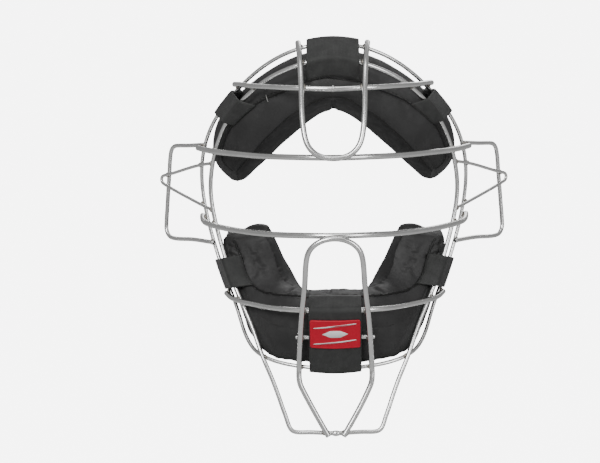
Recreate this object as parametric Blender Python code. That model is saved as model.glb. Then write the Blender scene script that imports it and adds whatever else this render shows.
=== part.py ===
"""Baseball catcher's face mask: a cage of welded steel wire, with a forehead pad and a jaw pad strapped inside it.

The drawing below is in millimetres. Its y = 0 plane passes through the temples, the front of the mask faces -Y,
+Z is up, and x = 0 is the plane of symmetry. Left and right are the wearer's, so left is +X.
ORIGIN is the point of the drawing that becomes the part's own origin, the middle of its bounding box.
"""

import math

import bmesh
import bpy
import numpy as np
from mathutils import Vector

ORIGIN = np.array((0.0, -19.8, 2.4))
MM = 0.001
GAP = 0.3  # clearance at each weld and between layers

# Wire radii
REAR_R = 1.4
FRONT_R = 1.6
BROW_R = 1.9
EYE_R = 2.1
MOUTH_R = 1.9
LOOP_R = 2.0
GUARD_R = 1.6
HARNESS_R = 1.2
CROSSBAR_R = 1.5

# Webbing, patches and pads
PAD_GAP = 0.6  # from a pad's curved surface to a patch or the liner
WEBBING = 1.6  # thickness
WIDE = 37.0  # top and chin straps
JAW_WIDE = 22.5  # jaw side straps
FOREHEAD_WIDE = 20.5  # forehead side straps
PATCH = 1.0  # thickness of each hook or loop patch
PATCH_SHARE = 0.84  # of the strap's width
COVER = 1.8  # inset from the cover's outside to its inside, at a corner
FOAM = 3.4  # inset from the cover's outside to the foam
LINER = 2.0  # thickness of the face liner
TAB_END = 1.5  # from the end of a tab to the pad's back edge

STEEL = ("satin_steel", (0.62, 0.62, 0.61), 0.38, 0.9)
VINYL = ("pad_cover", (0.045, 0.046, 0.045), 0.5, 0.0)
SUEDE = ("pad_liner", (0.028, 0.028, 0.029), 0.85, 0.0)
FOAM_GREY = ("foam", (0.11, 0.11, 0.12), 0.95, 0.0)
WEB = ("webbing", (0.042, 0.043, 0.042), 0.75, 0.0)
HOOK = ("hook_and_loop", (0.012, 0.012, 0.012), 0.95, 0.0)
RED = ("label", (0.58, 0.012, 0.03), 0.4, 0.0)


# ---- Scene and materials ----


def clear_scene():
    for obj in list(bpy.data.objects):
        bpy.data.objects.remove(obj)


def new_collection(name):
    group = bpy.data.collections.new(name)
    bpy.context.scene.collection.children.link(group)
    return group


def material(finish):
    name, colour, roughness, metallic = finish
    found = bpy.data.materials.get(name)
    if found:
        return found
    made = bpy.data.materials.new(name)
    made.use_nodes = True
    shader = made.node_tree.nodes["Principled BSDF"]
    shader.inputs["Base Color"].default_value = (*colour, 1)
    shader.inputs["Roughness"].default_value = roughness
    shader.inputs["Metallic"].default_value = metallic
    made.diffuse_color = (*colour, 1)
    return made


def placed(point):
    """A point of the drawing in the part's own frame, in metres."""
    return (np.asarray(point) - ORIGIN) * MM


# ---- Paths ----


def mirrored(half):
    """The whole of a symmetric path, from the half that starts on x = 0."""
    half = np.asarray(half, float)
    return np.vstack([half[:0:-1] * (-1, 1, 1), half])


def opposite(path):
    return np.asarray(path) * (-1, 1, 1)


def spline(knots, times, samples):
    """Points at the given times on the natural cubic spline that passes each knot at its own time."""
    knots = np.asarray(knots, float)
    times = np.asarray(times, float)
    step = np.diff(times)
    system = np.eye(len(knots))
    target = np.zeros_like(knots)
    for i in range(1, len(knots) - 1):
        system[i, i - 1 : i + 2] = (step[i - 1], 2 * (step[i - 1] + step[i]), step[i])
        slope_in = (knots[i] - knots[i - 1]) / step[i - 1]
        slope_out = (knots[i + 1] - knots[i]) / step[i]
        target[i] = 6 * (slope_out - slope_in)
    bend = np.linalg.solve(system, target)
    points = []
    for time in samples:
        i = int(np.clip(np.searchsorted(times, time) - 1, 0, len(step) - 1))
        b = (time - times[i]) / step[i]
        a = 1 - b
        curve = ((a**3 - a) * bend[i] + (b**3 - b) * bend[i + 1]) * step[i] ** 2 / 6
        points.append(a * knots[i] + b * knots[i + 1] + curve)
    return np.array(points)


def lengths(path):
    """The distance along the path to each of its points."""
    return np.concatenate([[0], np.cumsum(np.linalg.norm(np.diff(path, axis=0), axis=1))])


def resampled(path, start, end, count):
    """Points along a path between two distances from its start."""
    distance = lengths(path)
    wanted = np.linspace(start, end, count)
    return np.stack([np.interp(wanted, distance, coordinate) for coordinate in path.T], axis=1)


def smooth(knots):
    """A smooth path through the knots, with an odd number of points about a millimetre apart."""
    times = lengths(np.asarray(knots, float))
    return spline(knots, times, np.linspace(0, times[-1], 2 * int(times[-1] / 2) + 1))


def smooth_ring(half):
    """A smooth closed path through a half and its mirror image. Its ends meet at the half's last knot."""
    ring = mirrored(half)
    around = np.vstack([ring[-4:-1], ring, ring[1:4]])
    times = lengths(around)
    return spline(around, times, np.linspace(times[3], times[-4], 2 * int(times[-1] / 2) + 1))


def right_half(path):
    """The half of a symmetric path from its middle on, whose x is positive."""
    return path[len(path) // 2 :]


def bent(corners):
    """Straight runs of wire joined by arcs. Each corner is a point and the radius of its bend."""
    points = [np.array(corner[:3], float) for corner in corners]
    path = [points[0]]
    for i in range(1, len(points) - 1):
        radius = corners[i][3]
        to_last = points[i - 1] - points[i]
        to_next = points[i + 1] - points[i]
        to_last /= np.linalg.norm(to_last)
        to_next /= np.linalg.norm(to_next)
        turn = math.pi - math.acos(np.clip(to_last @ to_next, -1, 1))
        inward = (to_last + to_next) / np.linalg.norm(to_last + to_next)
        along = (to_next - to_last) / np.linalg.norm(to_next - to_last)
        middle = points[i] + inward * radius / math.cos(turn / 2)
        for angle in np.linspace(-turn / 2, turn / 2, 2 + int(math.degrees(turn) / 3)):
            path.append(middle + radius * (along * math.sin(angle) - inward * math.cos(angle)))
    path.append(points[-1])
    return np.array(path)


def thinned(path, most=7.0, most_turn=math.radians(8)):
    """The path with only the points that its bends need."""
    kept = [0]
    run = 0.0
    turned = 0.0
    for i in range(1, len(path) - 1):
        before = path[i] - path[i - 1]
        after = path[i + 1] - path[i]
        run += np.linalg.norm(before)
        cosine = before @ after / np.linalg.norm(before) / np.linalg.norm(after)
        turned += math.acos(np.clip(cosine, -1, 1))
        if run >= most or turned >= most_turn:
            kept.append(i)
            run = 0.0
            turned = 0.0
    return path[kept + [len(path) - 1]]


def tangents(path):
    slope = np.gradient(path, axis=0)
    return slope / np.linalg.norm(slope, axis=1, keepdims=True)


def resting(ring, radii, near, axis, along, side=(0.6, -1, 0)):
    """The centre of a wire where it is welded across a ring.

    The wire runs along `along` and rests on the ring's side `side`. The place is the one, close to `near`,
    that matches it exactly on one axis. `radii` is the sum of the two wires' radii.
    """
    near = np.asarray(near, float)
    chosen = ring[np.linalg.norm(ring - near, axis=1) < 45]
    normal = np.cross(tangents(chosen), along)
    normal /= np.linalg.norm(normal, axis=1, keepdims=True)
    normal *= np.sign(normal @ np.asarray(side, float))[:, None]
    rests = chosen + normal * (radii + GAP)
    return rests[np.argmin(abs(rests[:, axis] - near[axis]))]


def butted(ring, ring_radius, radius, near, along):
    """The end of a wire that meets a ring end on, and runs off along `along`. Its whole end face stays clear."""
    place = np.argmin(np.linalg.norm(ring - np.asarray(near, float), axis=1))
    ahead = np.asarray(along, float) / np.linalg.norm(along)
    lean = abs(ahead @ tangents(ring)[place])
    return ring[place] + ahead * (ring_radius + GAP + radius * lean) / math.sqrt(1 - lean**2)


# ---- Solids ----


def wire(name, path, radius):
    """A steel wire along the path, with flat ends."""
    path = thinned(np.asarray(path))
    curve = bpy.data.curves.new(name, "CURVE")
    curve.dimensions = "3D"
    curve.bevel_depth = radius * MM
    curve.bevel_resolution = 2
    curve.use_fill_caps = True
    line = curve.splines.new("POLY")
    line.points.add(len(path) - 1)
    for point, place in zip(line.points, path):
        point.co = (*placed(place), 1)
    curve.materials.append(material(STEEL))
    obj = bpy.data.objects.new(name, curve)
    parts.objects.link(obj)
    return obj


def lofted(name, sections, finish, group, pivot=ORIGIN):
    """A closed solid through sections that all have the same number of corners. Its origin is at the pivot."""
    shell = bmesh.new()
    rows = []
    for section in sections:
        rows.append([shell.verts.new(Vector((np.asarray(p) - pivot) * MM)) for p in section])
    corners = len(rows[0])
    for row, after in zip(rows, rows[1:]):
        for i in range(corners):
            j = (i + 1) % corners
            shell.faces.new((row[i], row[j], after[j], after[i]))
    shell.faces.new(rows[0])
    shell.faces.new(rows[-1])
    bmesh.ops.recalc_face_normals(shell, faces=shell.faces)
    mesh = bpy.data.meshes.new(name)
    shell.to_mesh(mesh)
    shell.free()
    mesh.materials.append(material(finish))
    obj = bpy.data.objects.new(name, mesh)
    obj.location = placed(pivot)
    group.objects.link(obj)
    return obj


# ---- The cage ----

REAR_HALF = [
    (0, -36, 139),
    (24.5, -34, 135.1),
    (44.6, -28, 125.7),
    (64.3, -18, 109.6),
    (78.7, -8, 93.1),
    (89.6, 2, 74.9),
    (95.4, 9, 56),
    (96.7, 13, 35.7),
    (94.1, 12, 15.1),
    (87.7, 8, -10.4),
    (78.8, -1, -35.7),
    (70.7, -12, -55.8),
    (64.2, -24, -73),
    (58.2, -32.5, -80.8),
    (51.8, -39.6, -84.2),
    (40, -46, -87.6),
    (21.8, -51.5, -90),
    (0, -53.5, -91.3),
]
FRONT_HALF = [
    (0, -54, 129.7),
    (23.6, -52, 125),
    (44.2, -45, 115.7),
    (62.4, -34, 100.8),
    (72.9, -25, 88),
    (82.4, -13, 69.1),
    (87.4, -6, 52.4),
    (89.5, -4, 31.8),
    (86.6, -6, 10),
    (80.9, -11, -11.3),
    (70.3, -22, -40.4),
    (59.7, -34, -63.6),
    (51.9, -43.8, -84.1),
    (45.3, -48.2, -99.4),
    (37.5, -53.8, -120.6),
]
THROAT_CORNER = (31.9, -57.6, -135.8, 5.5)
THROAT_FLOOR = (0, -59, -136.8)
BUTT = 0.15  # half the gap where a ring's two ends meet

# Half of each bar across the face, up to where it bends back to the rings
BROW_HALF = [(0, -68, 109.3), (16, -66, 109.6), (30, -61, 109.6), (44, -52, 109.8)]
UPPER_EYE_HALF = [(0, -84, 63), (23.2, -78.5, 62.9), (47.9, -62, 62.2), (66.1, -43.5, 61.9)]
LOWER_EYE_HALF = [(0, -87, 9.2), (23, -81, 8.8), (45, -66.5, 7.7), (67, -43.5, 7.1)]
MOUTH_HALF = [(0, -72, -46.1), (19.6, -70, -45.9), (38.8, -60.3, -46.3), (55, -44, -46.4)]


def front_ring():
    upper = right_half(smooth(mirrored(FRONT_HALF)))
    lower = bent([upper[-1], THROAT_CORNER, THROAT_FLOOR])
    length = lengths(lower)[-1]
    return mirrored(np.vstack([upper, resampled(lower, 0, length, int(length))[1:]]))


REAR = smooth_ring(REAR_HALF)
FRONT = front_ring()


def bar(half, radius, front_z, rear_z, overhang):
    """A bar bowed across the face. It rests on both rings at the heights given, and overhangs the rear one."""
    across_front = half[-1] + np.array((13, 22, front_z - half[-1][2]))
    on_front = resting(FRONT, FRONT_R + radius, across_front, 2, (0.57, 0.82, 0))
    across_rear = (on_front[0] + 9, on_front[1] + 14, rear_z)
    on_rear = resting(REAR, REAR_R + radius, across_rear, 2, (0.46, 0.89, 0))
    return smooth(mirrored([*half, on_front, on_rear, on_rear + overhang]))


BROW = bar(BROW_HALF, BROW_R, 109.8, 109.3, (1.8, 3.2, -0.2))
UPPER_EYE = bar(UPPER_EYE_HALF, EYE_R, 61, 61.6, (1.4, 2.8, 0.1))
LOWER_EYE = bar(LOWER_EYE_HALF, EYE_R, 7.3, 9, (0.6, 7.2, 2.2))
MOUTH = bar(MOUTH_HALF, MOUTH_R, -45.4, -43.8, (0.6, 1.8, 0.3))


def middle(path):
    return path[len(path) // 2]


def nose_loop():
    """A U that hangs from the top of both rings, in front of the brow bar, down to the upper eye bar."""
    floor = middle(UPPER_EYE) + (0, -(EYE_R + LOOP_R + GAP), 0)
    on_brow = resting(BROW, BROW_R + LOOP_R, (22.4, -66, 109), 0, (0, 0.3, 0.95), (0, -1, 0))
    on_front = resting(FRONT, FRONT_R + LOOP_R, (23.2, -53, 126), 0, (0, 0.72, 0.69), (0, -1, 0.8))
    on_rear = resting(REAR, REAR_R + LOOP_R, (24.0, -35, 136), 0, (0, 0.93, 0.37), (0, -0.4, 1))
    bend = [floor, floor + (6.8, 0.4, 0.7), floor + (12.8, 1.0, 3.4), floor + (17.6, 2.5, 8.8)]
    legs = [(20.4, -82.9, 81.5), (21.6, -77.0, 95)]
    return smooth(mirrored([*bend, *legs, on_brow, on_front, on_rear, on_rear + (0.2, 2.6, 1.0)]))


def throat_loop():
    """An inverted U from the lower eye bar, in front of the mouth bar and the chin, to the throat guard's floor."""
    top = middle(LOWER_EYE) + np.array((0, -0.94, -0.34)) * (EYE_R + LOOP_R + GAP)
    on_mouth = resting(MOUTH, MOUTH_R + LOOP_R, (22.9, -70, -46), 0, (0, 0.3, -0.95), (0, -1, 0))
    on_chin = resting(REAR, REAR_R + LOOP_R, (25.6, -51, -89), 0, (0, 0.15, -1), (0, -1, 0))
    on_floor = resting(FRONT, FRONT_R + LOOP_R, (6.4, -59, -136), 0, (-0.45, -0.1, -0.9), (0, -1, 0))
    bend = [top, top + (9.2, 0.3, -1.8), (17.2, -89.8, -0.6), (19.6, -88.4, -8.5), (20.6, -84.6, -22)]
    upper = right_half(smooth(mirrored([*bend, on_mouth, (24.7, -65.5, -68), on_chin])))
    lower = bent([on_chin, (on_chin[0] + 0.1, on_chin[1] - 0.6, -101, 17), on_floor + (-1.2, 0, -2.2)])
    return mirrored(np.vstack([upper, lower[1:]]))


THROAT = throat_loop()


def crossbar():
    """A short bar behind the throat loop's two legs."""
    end = resting(THROAT, LOOP_R + CROSSBAR_R, (24.6, -66, -66.5), 2, (1, 0, 0), (0, 1, 0)) + (3.4, 0, 0)
    return np.array([opposite(end), end])


CROSSBAR = crossbar()


def ear_guard():
    """A three-sided guard that stands back from the rear ring, over the ear."""
    start = butted(REAR, REAR_R, GUARD_R, (93.6, 7, 63.6), (0.46, 0.88, 0))
    on_rear = resting(REAR, REAR_R + GUARD_R, (90, 7, -7.6), 2, (0.62, 0.78, 0))
    corners = [
        (*start, 0),
        (107, 31, 60.8, 60),
        (121.2, 46.6, 59.2, 8),
        (124.4, 51, 26, 150),
        (127, 50.4, -10.2, 8),
        (107.3, 28, -8.8, 60),
        (*on_rear, 60),
        (*(on_rear + (-2.9, -3.7, 0.1)), 0),
    ]
    return bent(corners)


GUARD = ear_guard()


def harness_loop():
    """A V that the harness strap hooks on: both legs stand on the front ring and pass outside the ear guard."""
    legs = []
    for slant, front_z, rear_z, guard_z in ((-0.22, 52.4, 48.2, 37.4), (0.22, 17.5, 19.2, 26.6)):
        along = (0.57, 0.8, slant)
        on_front = butted(FRONT, FRONT_R, HARNESS_R, (88, -5.5, front_z), along)
        on_rear = resting(REAR, REAR_R + HARNESS_R, (97, 10, rear_z), 2, along)
        on_guard = resting(GUARD, GUARD_R + HARNESS_R, (124, 50, guard_z), 2, along)
        legs.append([(*on_front, 0), (*on_rear, 60), (*on_guard, 15)])
    tip = (legs[0][-1] + np.array(legs[1][-1])) / 2 + (7.4, 9.6, 0.2, 0)
    return bent([*legs[0], (*tip[:3], 2.8), *legs[1][::-1]])


def opened(ring):
    """The ring with a narrow gap at its butt joint."""
    return np.vstack([ring[:1] - (BUTT, 0, 0), ring[1:-1], ring[-1:] + (BUTT, 0, 0)])


def build_cage():
    wire("rear_ring", opened(REAR), REAR_R)
    wire("front_ring", opened(FRONT), FRONT_R)
    wire("brow_bar", BROW, BROW_R)
    wire("upper_eye_bar", UPPER_EYE, EYE_R)
    wire("lower_eye_bar", LOWER_EYE, EYE_R)
    wire("mouth_bar", MOUTH, MOUTH_R)
    wire("nose_loop", nose_loop(), LOOP_R)
    wire("throat_loop", THROAT, LOOP_R)
    wire("strap_crossbar", CROSSBAR, CROSSBAR_R)
    for side, turned in (("left", np.asarray), ("right", opposite)):
        wire(f"ear_guard_{side}", turned(GUARD), GUARD_R)
        wire(f"harness_loop_{side}", turned(harness_loop()), HARNESS_R)


# ---- The pads ----

# A pad's edges, in order round its section. Each has one knot for each station, from the middle of the mask
# to the pad's end. The straps are sewn in the seam, and the face and back edges border the liner.
FOREHEAD = {
    "seam": [
        (0, -51, 117.7),
        (16.8, -50, 114),
        (35.2, -46, 105.7),
        (52, -39, 98),
        (66.4, -29, 86.1),
        (76, -17, 74),
        (81, -9, 56),
        (73, -5, 46),
    ],
    "inner": [
        (0, -50, 102.2),
        (16, -49.5, 97.5),
        (30, -46.5, 89),
        (41, -41, 79),
        (50.5, -34, 69.5),
        (57.5, -26, 61),
        (63.5, -16, 53.5),
        (71, -5, 44),
    ],
    "face": [
        (0, -13, 89.8),
        (17.5, -13, 82.2),
        (31, -10.5, 70.8),
        (41.5, -6, 61.3),
        (51, 1, 51.4),
        (58.5, 9, 44),
        (65, 16, 37.8),
        (70.5, 18, 36),
    ],
    "back": [
        (0, -13, 133),
        (20, -13, 130.8),
        (40, -9, 122.3),
        (58, -2, 110),
        (73, 9, 96),
        (85.5, 18, 78),
        (88, 21, 52.5),
        (75.5, 17, 37.5),
    ],
}
JAW = {
    "seam": [
        (0, -58, -37.5),
        (17, -56.5, -38),
        (31, -51.5, -38.5),
        (45, -38, -39.3),
        (56, -26, -37.5),
        (64, -15.5, -29.5),
        (68, -10, -16.5),
        (73.5, -6, -5),
    ],
    "inner": [
        (0, -29, -37.5),
        (17, -25, -38.5),
        (27, -21, -37.4),
        (34, -19, -34.8),
        (39, -16, -29.5),
        (42.5, -12.5, -21),
        (45.5, -9.5, -11),
        (50.5, -7.5, -2),
    ],
    "face": [
        (0, -25, -44),
        (15, -20, -44),
        (23, -10, -41),
        (28, 3, -36),
        (32.5, 12, -29),
        (37.5, 16, -21),
        (42, 18, -11),
        (48.5, 18, 2),
    ],
    "back": [
        (0, -25, -86.5),
        (17, -23, -86),
        (32, -18, -85),
        (47, -9, -80.5),
        (61, 3, -69),
        (73, 16, -43.5),
        (79, 22, -20.5),
        (79, 21, -2.5),
    ],
    "under": [
        (0, -50, -86.8),
        (19, -49, -86.3),
        (36, -44, -85.2),
        (51, -36, -80.4),
        (62.5, -24, -65.5),
        (72, -10.5, -40),
        (79, -2, -20),
        (80, 0, -4.5),
    ],
    "front": [
        (0, -60, -62),
        (18, -58, -62),
        (34, -53, -61),
        (49, -43, -58),
        (60, -30, -50),
        (69, -15, -34),
        (75, -7.5, -18),
        (77.5, -3, -4.5),
    ],
}
LAST = 7  # the number of the last station
STEP = 0.25  # between sections, in stations
STATIONS = [s for s in np.arange(-LAST, LAST + STEP / 2, STEP) if s]  # none in the middle, for a flat face there
HOLLOW_ENDS = 6.5  # the last station of the hollow in the cover
FOAM_ENDS = 6.0  # the last station of the foam
PAST_BACK = 5.0  # how far the hollow's cutter runs out of the open back


def edge_path(edges, name, samples):
    return spline(mirrored(edges[name]), range(-LAST, LAST + 1), samples)


def pad_sections(edges, stations):
    """The pad's outline at each station, with one corner on each edge."""
    return np.stack([edge_path(edges, name, stations) for name in edges], axis=1)


def inset(section, distance):
    """The section with each corner moved towards the middle."""
    inward = section.mean(axis=0) - section
    return section + inward / np.linalg.norm(inward, axis=1, keepdims=True) * distance


def hollow(section):
    """The section of what is cut out of the cover. Its two gussets run on through the open back."""
    cut = inset(section, COVER)
    for corner, ahead in ((2, 1), (3, (4, 0)[len(section) == 4])):
        gusset = section[corner] - section[ahead]
        cut[corner] += gusset / np.linalg.norm(gusset) * PAST_BACK
    return cut


def liner_section(section):
    face, back = section[2:4] + (0, PAD_GAP, 0)
    return [back, face, face + (0, LINER, 0), back + (0, LINER, 0)]


def build_pad(name, edges):
    """An open-backed cover, the foam in it and the liner over its back."""
    outlines = pad_sections(edges, STATIONS)
    cut_out = [hollow(outline) for s, outline in zip(STATIONS, outlines) if abs(s) <= HOLLOW_ENDS]
    filling = [inset(outline, FOAM) for s, outline in zip(STATIONS, outlines) if abs(s) <= FOAM_ENDS]
    cover = lofted(f"{name}_pad_cover", outlines, VINYL, parts)
    cutter = lofted(f"{name}_hollow_cutter", cut_out, VINYL, cutters)
    cutter.display_type = "WIRE"
    cutter.hide_render = True
    cut = cover.modifiers.new("hollow", "BOOLEAN")
    cut.operation = "DIFFERENCE"
    cut.object = cutter
    lofted(f"{name}_pad_foam", filling, FOAM_GREY, parts)
    lofted(f"{name}_pad_liner", [liner_section(outline) for outline in outlines], SUEDE, parts)


# ---- The straps ----

ACROSS = np.linspace(-0.5, 0.5, 5)  # the strap's sections, as shares of its width
RING_ARC = 9  # points round the rear ring
WIRE_ARC = 4  # points round each other wire
SEWN = np.array((-1.6, -0.5))  # from the pad's seam to the end of the strap's centre line
LANDING = 3.0  # from the rear ring to where the tab lies down on its patch
TAB_HEIGHT = PAD_GAP + 2 * GAP + 2 * PATCH + WEBBING / 2  # of the tab's centre line over the pad
# Each strap's place on the rear ring, the lean of its plane, its width and the slack in its fold
FITS = {
    "top": ((0, -36, 139), 1, WIDE, 2.0),
    "chin": ((0, -53.5, -91.3), 1, WIDE, 0),
    "forehead": ((77, -9.2, 95.1), 0.3, FOREHEAD_WIDE, 0),
    "jaw": ((80.6, 1.3, -30.8), 0.38, JAW_WIDE, 0),
}
LABEL_SPAN = (25.2, 48.6)  # along the chin strap's centre line
LABEL_WIDTH = 35.0
LABEL = 0.8  # thickness


def crossing(path, centre, normal, offset):
    """Where a path crosses a plane `offset` along the normal from the centre, at the crossing nearest to it."""
    height = (path - centre) @ normal - offset
    found = []
    for i in np.flatnonzero(height[:-1] * height[1:] <= 0):
        share = height[i] / (height[i] - height[i + 1])
        found.append(path[i] + (path[i + 1] - path[i]) * share)
    return min(found, key=lambda point: np.linalg.norm(point - centre))


def tangent_normal(start, start_radius, end, end_radius):
    """The normal of the line that touches two circles, both on its right."""
    span = end - start
    distance = np.linalg.norm(span)
    sine = (start_radius - end_radius) / distance
    ahead = span / distance
    left = np.array((-ahead[1], ahead[0]))
    return ahead * sine + left * math.sqrt(1 - sine**2)


def taut(stops):
    """A path in the plane pulled tight round its stops, each a centre, a radius and a number of points."""
    normals = [tangent_normal(*a[:2], *b[:2]) for a, b in zip(stops, stops[1:])]
    angles = [math.atan2(normal[1], normal[0]) for normal in normals]
    path = [stops[0][0]]
    for (centre, radius, count), first, last in zip(stops[1:-1], angles, angles[1:]):
        turn = (last - first + math.pi) % math.tau - math.pi
        for angle in first + np.linspace(0, turn, count):
            path.append(centre + radius * np.array((math.cos(angle), math.sin(angle))))
    return np.array([*path, stops[-1][0]])


def beside(path, distance):
    """A path in the plane, moved to its own left."""
    ahead = np.diff(path, axis=0)
    ahead /= np.linalg.norm(ahead, axis=1, keepdims=True)
    left = np.stack([-ahead[:, 1], ahead[:, 0]], axis=1)
    mitre = (left[:-1] + left[1:]) / (1 + np.sum(left[:-1] * left[1:], axis=1))[:, None]
    return path + distance * np.vstack([left[:1], mitre, left[-1:]])


def band(path, low, high):
    """The outline between two paths beside the given one."""
    return np.vstack([beside(path, high), beside(path, low)[::-1]])


class StrapFrame:
    """The plane across the rear ring that a strap is drawn in: first axis back, second axis outward.

    `lean` of 1 keeps the plane square to the ring, and 0 makes it level.
    """

    def __init__(self, near, lean):
        place = np.argmin(np.linalg.norm(REAR - np.asarray(near, float), axis=1))
        self.centre = REAR[place]
        ring = tangents(REAR)[place]
        self.along = ring * (lean, lean, 1)
        self.along /= np.linalg.norm(self.along)
        self.stretch = 1 / (ring @ self.along)  # of a round wire's section
        back = np.array((0, 1.0, 0))
        back -= self.along * (back @ self.along)
        self.back = back / np.linalg.norm(back)
        outward = np.cross(self.along, self.back)
        self.outward = outward * np.sign(outward @ (self.centre * (1, 0, 1)))
        self.turn = ring * np.sign(ring @ np.cross(self.back, self.outward))  # a tab peels open about this axis

    def flat(self, path, offset):
        """Where a path crosses the section at the offset, in the plane's own axes."""
        arm = crossing(path, self.centre, self.along, offset) - self.centre
        return np.array((arm @ self.back, arm @ self.outward))

    def solid(self, points, offset):
        """Points of the section at the offset, back in the drawing."""
        return [self.centre + self.along * offset + p[0] * self.back + p[1] * self.outward for p in points]


def strap_section(frame, offset, slack, wires, edges, landing):
    """The centre lines of a strap and its tab, and the pad's surface under the tab as a point, direction and normal.

    `wires` are those that the strap passes over on its way, and `landing` names the edges between which the tab lies.
    """
    seam, first, last = [edge_path(edges, name, STATIONS) for name in ("seam", *landing)]
    seam, start, end = [frame.flat(path, offset) for path in (seam, (first + last) / 2, last)]
    ahead = (end - start) / np.linalg.norm(end - start)
    normal = np.array((-ahead[1], ahead[0]))
    ring = frame.flat(REAR, offset)
    lands = start + ahead * ((ring - start) @ ahead + LANDING + 2 * slack) + normal * TAB_HEIGHT
    stops = [(seam + SEWN, 0, 1)]
    for path, radius in wires:
        stops.append((frame.flat(path, offset), radius * frame.stretch + GAP + WEBBING / 2, WIRE_ARC))
    stops += [(ring, REAR_R * frame.stretch + GAP + WEBBING / 2 + slack, RING_ARC), (lands, 0, 1)]
    whole = taut(stops)
    leaves = whole[-2]
    drop = (lands - leaves) / np.linalg.norm(lands - leaves)
    tail = end - ahead * TAB_END + normal * TAB_HEIGHT
    tab = np.array([leaves + drop * 2 * GAP, lands, tail])
    return whole[:-1], tab, (end, -ahead, normal)


def patch_outline(surface, tail, reach, low, high):
    """A thin rectangle over the pad's surface, between two distances from its back edge."""
    end, forward, normal = surface
    corners = ((tail, low), (tail, high), (reach, high), (reach, low))
    return [end + forward * distance + normal * height for distance, height in corners]


def build_strap(name, side, fit, wires, edges, landing):
    """A strap sewn in the pad's seam, round the wires and the rear ring; its tab; and the two patches."""
    near, lean, width, slack = fit
    frame = StrapFrame(near, lean)
    turned = opposite if side == "right" else np.asarray
    ending = f"_{side}" if side else ""
    offsets = ACROSS * width
    patch_offsets = offsets * PATCH_SHARE
    drawn = [strap_section(frame, offset, slack, wires, edges, landing) for offset in offsets]
    reach = min(np.linalg.norm(tab[2] - tab[1]) for _, tab, _ in drawn) + TAB_END
    outlines = {"strap": [], "tab": [], "hook_patch": [], "loop_patch": []}
    for strap, tab, _ in drawn:
        outlines["strap"].append(band(strap, -WEBBING / 2, WEBBING / 2))
        outlines["tab"].append(band(tab, -WEBBING / 2, WEBBING / 2))
    hook = PAD_GAP + PATCH + GAP
    for offset in patch_offsets:
        surface = strap_section(frame, offset, slack, wires, edges, landing)[2]
        outlines["hook_patch"].append(patch_outline(surface, TAB_END + 1, reach - 2.5, hook, hook + PATCH))
        outlines["loop_patch"].append(patch_outline(surface, 1.5, reach - 1.5, PAD_GAP, PAD_GAP + PATCH))
    middle_tab = drawn[len(drawn) // 2][1]
    edge = beside(middle_tab, WEBBING / 2)[0]
    hinge = turned(frame.solid([edge], 0)[0])
    pivot = bpy.data.objects.new(f"{name}_tab_fold{ending}", None)
    pivot.location = placed(hinge)
    pivot.empty_display_size = width * MM / 2
    parts.objects.link(pivot)
    finishes = {"strap": WEB, "tab": WEB, "hook_patch": HOOK, "loop_patch": HOOK}
    for piece, flat in outlines.items():
        places = patch_offsets if "patch" in piece else offsets
        solid = [turned(frame.solid(outline, offset)) for outline, offset in zip(flat, places)]
        moves = piece in ("tab", "hook_patch")
        obj = lofted(f"{name}_{piece}{ending}", solid, finishes[piece], parts, hinge if moves else ORIGIN)
        if moves:
            obj.location = (0, 0, 0)
            obj.parent = pivot
    return frame


def build_label(frame, route):
    """A label on the front of the chin strap."""
    rows = []
    for offset in ACROSS * LABEL_WIDTH:
        strap = strap_section(frame, offset, 0, *route)[0]
        line = resampled(strap, *LABEL_SPAN, 7)
        rows.append(frame.solid(band(line, WEBBING / 2 + GAP, WEBBING / 2 + GAP + LABEL), offset))
    lofted("label_patch", rows, RED, parts)


def build_straps():
    over_front = [(FRONT, FRONT_R)]
    forehead = (over_front, FOREHEAD, ("seam", "back"))
    jaw = (over_front, JAW, ("under", "back"))
    chin = ([(MOUTH, MOUTH_R)], JAW, ("under", "back"))
    build_strap("top", "", FITS["top"], *forehead)
    for side in ("left", "right"):
        build_strap("forehead", side, FITS["forehead"], *forehead)
        build_strap("jaw", side, FITS["jaw"], *jaw)
    build_label(build_strap("chin", "", FITS["chin"], *chin), chin)


clear_scene()
parts = new_collection("catchers_mask")
cutters = new_collection("cutters")
build_cage()
build_pad("forehead", FOREHEAD)
build_pad("jaw", JAW)
build_straps()
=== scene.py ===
"""The look of the catcher's face mask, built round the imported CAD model.

Lengths are in millimetres in the CAD drawing's own frame: y = 0 passes through the temples, the front faces -Y,
+Z is up and x = 0 is the plane of symmetry. ORIGIN is the point of it that is the model's origin.
"""

import math

import bmesh
import bpy
import numpy as np
from mathutils import Matrix, Vector, noise


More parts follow.
